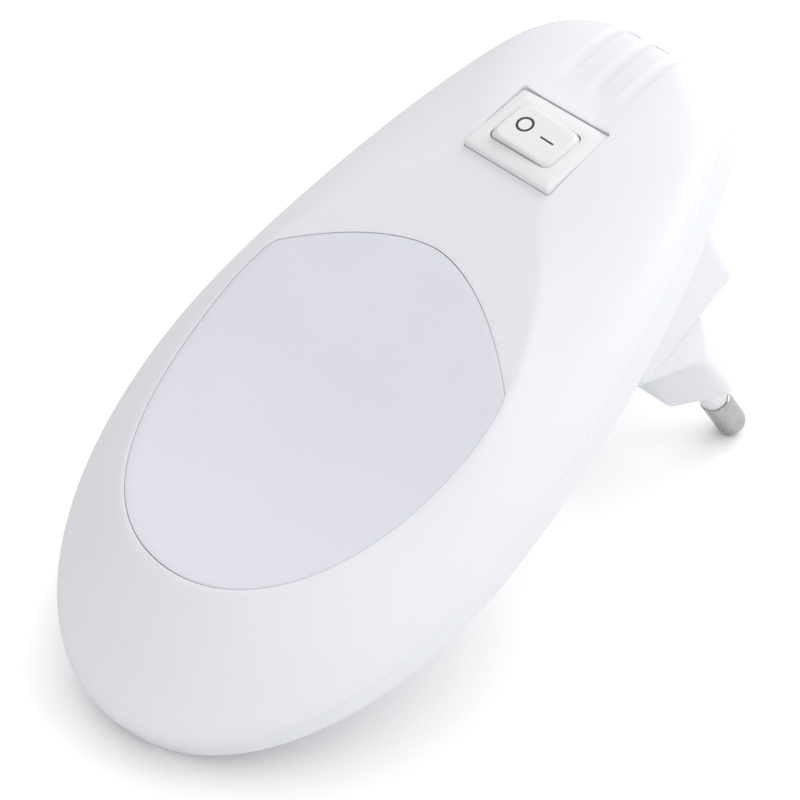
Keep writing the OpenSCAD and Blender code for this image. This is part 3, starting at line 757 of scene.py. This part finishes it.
# ---- Pin sleeves ----
# Smooth white nylon tubes moulded over the slim part of each pin; they end in a small chamfer
# just behind the bare metal.
sleeve_nylon = moulded("sleeve_nylon", (0.84, 0.845, 0.86), 0.3, 0.06)
tube = [(1.5, -1.95), (sleeve_r, -1.95), (sleeve_r, 9.75), (1.75, 9.88), (1.65, 9.95), (1.5, 9.95)]
for name, x in (("pin_sleeve_left", -pin_x), ("pin_sleeve_right", pin_x)):
    sleeve = turned(name + "_tube", x, tube, closed=True)
    give(sleeve, sleeve_nylon)
    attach(sleeve, "case")
    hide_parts(name)

# ---- Switch bezel and body ----
# A snap-in mini rocker switch, its body moulded in neutral white nylon. The bezel's edge is flush with
# the case; its frame rises gently all round to the rocker's mouth, whose ends follow the rocker's arc.
housing_w, housing_h, housing_d = bezel_w - 1, bezel_h - 1.4, 10.6
mouth_rise, mouth_h = 0.4, housing_h - 2.7
pivot_y, rocker_r = 2.4, 5.58


def mouth_loop(depth, grow=0.0):
    """Ring of the mouth at a depth, 0.12 mm clear of the rocker's ends; its corners open outwards."""
    reach = math.sqrt((rocker_r + 0.12) ** 2 - min(0, depth - pivot_y) ** 2) + grow
    return round_loop(2 * reach, mouth_h + 2 * grow, 0.35 + 0.25 * max(0, pivot_y - depth), depth)


bm = bmesh.new()
bezel_edge = ((0.5, -0.12), (0.24, -0.06), (0.08, 0.02), (0, 0.14), (0, 1.2))
loft(bm, [mouth_loop(depth) for depth in (housing_d - 1, pivot_y, 1.6, 0.9, 0.4, 0, -0.2)]
     + [mouth_loop(-mouth_rise + 0.08), mouth_loop(-mouth_rise + 0.02, 0.04), mouth_loop(-mouth_rise, 0.12)]
     + [round_loop(bezel_w - less, bezel_h - less, 0.35, depth) for less, depth in bezel_edge]
     + [round_loop(housing_w, housing_h, 0.4, depth) for depth in (1.2, housing_d - 0.3)]
     + [round_loop(housing_w - 0.6, housing_h - 0.6, 0.3, housing_d)])
bmesh.ops.transform(bm, matrix=switch_frame, verts=bm.verts)
bezel = new_object("switch_bezel", bm)
smooth(bezel, 42)
switch_nylon = moulded("switch_nylon", (0.835, 0.837, 0.85), 0.38, 0.18)
give(bezel, switch_nylon)
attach(bezel, "case")
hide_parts("switch_housing")

# ---- Rocker ----
# The rocking key, moulded in glossier white nylon: its top is a shallow V with round corners, its
# ends follow an arc about the pivot. A ring and a bar, the marks for off and on, are printed in grey.
rock_angle, rocker_h = math.radians(5), mouth_h - 0.3
top_half, top_y, pivot_r, ring_gap = 4.4, -3.35, 0.9, 0.38
rock_turn = Matrix.Translation(Vector((0, pivot_y, 0)) * MM) @ Matrix.Rotation(rock_angle, 4, "Z")
rocker_frame = switch_frame @ rock_turn


def side_ring(half, y, r):
    """Ring round the rocker's sides at a depth."""
    return round_loop(2 * half, rocker_h, r, y, 10)


def top_ring(inset, sunk):
    """Ring on the rocker's top, a V that is soft in the middle; inset from its edge and sunk below it."""
    half, high = top_half - inset, max(rocker_h / 2 - inset, 0.05)
    ring = round_loop(2 * half, 2 * high, max(0.06, 1.15 - inset * 0.45), 0, 10)
    return [Vector((p.x, top_y + sunk - 0.04 * (math.sqrt(p.x * p.x + 0.5) - 0.7), p.z)) for p in ring]


flank = [side_ring(math.sqrt(rocker_r ** 2 - y * y), y, 0.3 + 0.1 * i)
         for i in range(9) for y in [-ring_gap * i]]
top_edge = [top_ring(inset, sunk) for inset, sunk in ((0.02, 0.18), (0.08, 0.09), (0.17, 0.025), (0.28, 0))]
bm = bmesh.new()
loft(bm, [side_ring(3.3, pivot_r, 0.3)] + flank + top_edge
     + [top_ring(inset, 0) for inset in (0.6, 1.1, 1.7, 2.3, 2.7)])
around = [math.tau * i / 32 for i in range(32)]
pivot_end = housing_h / 2 - 0.15
loft(bm, [[Vector((pivot_r * math.cos(a), pivot_r * math.sin(a), z)) for a in around]
          for z in (-pivot_end, pivot_end)])
bmesh.ops.transform(bm, matrix=rocker_frame, verts=bm.verts)
rocker = new_object("rocker_key", bm)
smooth(rocker, 42)
key_nylon = moulded("key_nylon", (0.82, 0.82, 0.835), 0.3, 0.08)
tree = key_nylon.node_tree
shader, grain = tree.nodes["Principled BSDF"], next(x for x in tree.nodes if x.type == "GROUP")
on_key = tree.nodes.new("ShaderNodeMapping")
on_key.vector_type = "TEXTURE"
on_key.inputs["Location"].default_value = rocker_frame.to_translation()
on_key.inputs["Rotation"].default_value = rocker_frame.to_euler()
tree.links.new(tree.nodes.new("ShaderNodeTexCoord").outputs["Object"], on_key.inputs["Vector"])
spot = tree.nodes.new("ShaderNodeSeparateXYZ")
tree.links.new(on_key.outputs[0], spot.inputs[0])
x, y, z = spot.outputs


def stripe(tree, value, middle, half, sharpness):
    """1 where value is less than half from middle, both in millimetres, with a short soft edge."""
    gap = math_node(tree, "ABSOLUTE", math_node(tree, "SUBTRACT", value, middle * MM), 0)
    return math_node(tree, "MULTIPLY", math_node(tree, "SUBTRACT", half * MM, gap), sharpness / MM, True)


off_x = math_node(tree, "SUBTRACT", x, -2.0 * MM)
off_z = math_node(tree, "SUBTRACT", z, 0.25 * MM)
squares = [math_node(tree, "MULTIPLY", side, side) for side in (off_x, off_z)]
ring_mark = stripe(tree, math_node(tree, "SQRT", math_node(tree, "ADD", *squares), 0), 0.95, 0.17, 40)
bar_mark = math_node(tree, "MULTIPLY", stripe(tree, x, 1.75, 1.05, 40), stripe(tree, z, 0.0, 0.14, 40))
on_top = math_node(tree, "LESS_THAN", y, -2.6 * MM)
mark = math_node(tree, "MULTIPLY", math_node(tree, "MAXIMUM", ring_mark, bar_mark), on_top)
ink = (0.045, 0.045, 0.05)
tree.links.new(mix_colours(tree, mark, grain.outputs["Colour"], ink), shader.inputs["Base Color"])
give(rocker, key_nylon)
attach(rocker, "rocker")
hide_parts("rocker")

# ---- Cover screws ----
# Three small screws in zinc-plated steel, bright with a faint blue and yellow bloom. They sit in the
# back cover's sunk seats and hold it to the bosses of the front shell.
zinc = drawn("zinc_plate", (0.56, 0.57, 0.60), (0.42, 0.40, 0.33), 0.3)
give(nodes["cover_screws"], zinc)

# ---- LED board and light collar ----
# The round-ended board is coated in white solder mask with thin tracks just showing through; the
# collar round it is matt white plastic.


def vary_roughness(tree, shader, place, size, span, least):
    """Roughness that wanders over a span from its least value, in patches of a size in millimetres."""
    patches = math_node(tree, "MULTIPLY", noise(tree, place, size * MM), span)
    tree.links.new(math_node(tree, "ADD", patches, least), shader.inputs["Roughness"])


mask_white, n, l, shader = new_material("solder_mask_white", (0.80, 0.80, 0.77), 0.45)
tree = mask_white.node_tree
place = n.new("ShaderNodeTexCoord").outputs["Object"]
brick = n.new("ShaderNodeTexBrick")
brick.inputs["Scale"].default_value = 1 / (9 * MM)
brick.inputs["Mortar Size"].default_value = 0.03
brick.inputs["Color1"].default_value = (0.80, 0.80, 0.77, 1)
brick.inputs["Color2"].default_value = (0.79, 0.79, 0.75, 1)
brick.inputs["Mortar"].default_value = (0.70, 0.68, 0.60, 1)
turn = n.new("ShaderNodeMapping")
turn.inputs["Rotation"].default_value = (math.pi / 2, 0, 0)
l.new(place, turn.inputs["Vector"])
l.new(turn.outputs[0], brick.inputs["Vector"])
l.new(brick.outputs["Color"], shader.inputs["Base Color"])
vary_roughness(tree, shader, place, 1.2, 0.2, 0.32)
give(nodes["led_board"], mask_white)
give(nodes["light_box"], moulded("collar_white", (0.80, 0.81, 0.82), 0.55, 0.3))

# ---- LEDs ----
# Flat packages with a clear lens over yellow phosphor in a white frame, soldered to the front of
# their board in even rows behind the window.
led_frame = (0.85, 0.84, 0.80)
led_look, n, l, shader = new_material("led_package", led_frame, 0.3)
tree = led_look.node_tree
place = n.new("ShaderNodeTexCoord").outputs["Object"]
spot = n.new("ShaderNodeSeparateXYZ")
l.new(place, spot.inputs[0])
led_pitch, led_x, led_z = 13, 6.5, -36.8


def near_led(socket, middle, half):
    """1 inside a band round each LED of a row, counted from the middle of one."""
    shifted = math_node(tree, "SUBTRACT", socket, (middle - led_pitch / 2) * MM)
    return stripe(tree, math_node(tree, "FLOORED_MODULO", shifted, led_pitch * MM), led_pitch / 2, half, 20)


lens = math_node(tree, "MULTIPLY", near_led(spot.outputs["X"], led_x, 1.3),
                 near_led(spot.outputs["Z"], led_z, 1.0))
l.new(mix_colours(tree, lens, led_frame, (0.88, 0.66, 0.16)), shader.inputs["Base Color"])
vary_roughness(tree, shader, place, 0.3, 0.15, 0.16)
give(nodes["leds"], led_look)

# ---- Driver board ----
# Green glass-epoxy with a fine woven grain under the solder mask. It stands in the neck, with the
# pins' tails soldered to it.
green_board, n, l, shader = new_material("solder_mask_green", (0.03, 0.16, 0.07), 0.4)
tree = green_board.node_tree
place = n.new("ShaderNodeTexCoord").outputs["Object"]
weave = n.new("ShaderNodeTexWave")
weave.inputs["Scale"].default_value = 1 / (1.2 * MM)
weave.inputs["Distortion"].default_value = 0.6
l.new(place, weave.inputs["Vector"])
woven = mix_colours(tree, weave.outputs["Fac"], (0.025, 0.14, 0.06), (0.035, 0.19, 0.085))
l.new(woven, shader.inputs["Base Color"])
vary_roughness(tree, shader, place, 0.8, 0.2, 0.25)
give(nodes["driver_board"], green_board)

# ---- Parts on the boards ----
# A dipped film capacitor in glossy yellow epoxy, an electrolytic can in a blue shrink sleeve, a
# lacquered resistor with colour bands, and a rectifier in matt black epoxy.
give(nodes["film_capacitor"], moulded("dipped_epoxy", (0.66, 0.38, 0.03), 0.22, 0.9))
give(nodes["bridge_rectifier"], moulded("moulded_epoxy", (0.02, 0.02, 0.022), 0.6, 0.9, 0.3))


def banded(name, ground, band, node, axis, stripes, roughness):
    """Lacquer or shrink sleeve with printed stripes: pairs of a share along the piece and a half width."""
    material, n, l, shader = new_material(name, ground, roughness)
    tree = material.node_tree
    place = n.new("ShaderNodeTexCoord").outputs["Object"]
    split = n.new("ShaderNodeSeparateXYZ")
    l.new(place, split.inputs[0])
    low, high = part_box(node)
    along = split.outputs[axis]
    mask = 0.0
    for share, half in stripes:
        middle = (low[axis] + (high[axis] - low[axis]) * share) / MM
        mask = math_node(tree, "MAXIMUM", stripe(tree, along, middle, half, 30), mask)
    l.new(mix_colours(tree, mask, ground, band), shader.inputs["Base Color"])
    bump = n.new("ShaderNodeBump")
    bump.inputs["Strength"].default_value = 0.3
    bump.inputs["Distance"].default_value = 0.03 * MM
    l.new(noise(tree, place, 0.7 * MM), bump.inputs["Height"])
    l.new(bump.outputs[0], shader.inputs["Normal"])
    give(nodes[node], material)


banded("shrink_sleeve", (0.015, 0.03, 0.16), (0.55, 0.57, 0.62), "smoothing_capacitor", 0, [(0.9, 0.6)], 0.3)
banded("resistor_lacquer", (0.12, 0.28, 0.42), (0.30, 0.05, 0.03), "inrush_resistor", 0,
       [(0.2, 0.3), (0.36, 0.3), (0.52, 0.3), (0.8, 0.3)], 0.35)

# ---- Contacts and spring ----
# Stamped tin-bronze blade and terminals with rolled grain, a plunger finished like them, and a bare
# steel coil spring that presses the plunger onto the blade.
bronze = drawn("tin_bronze", (0.66, 0.40, 0.22), (0.38, 0.20, 0.10), 0.6)
for name in ("contact_blade", "common_terminal", "output_terminal", "rocker_plunger"):
    give(nodes[name], bronze)
give(nodes["rocker_spring"], drawn("spring_wire", (0.45, 0.45, 0.46), (0.28, 0.27, 0.26), 0.4))

# ---- Leads ----
# Three short wires in soft PVC with a slight sheen and a faint dust of chalk: from the board to the
# switch, from the switch to the LEDs, and from the LEDs back to the board.
for name, colour in (("wire_feed", (0.42, 0.03, 0.02)), ("wire_led", (0.03, 0.08, 0.36)),
                     ("wire_return", (0.12, 0.12, 0.125))):
    give(nodes[name], moulded("pvc_" + name, colour, 0.5, 0.5, 0.4))
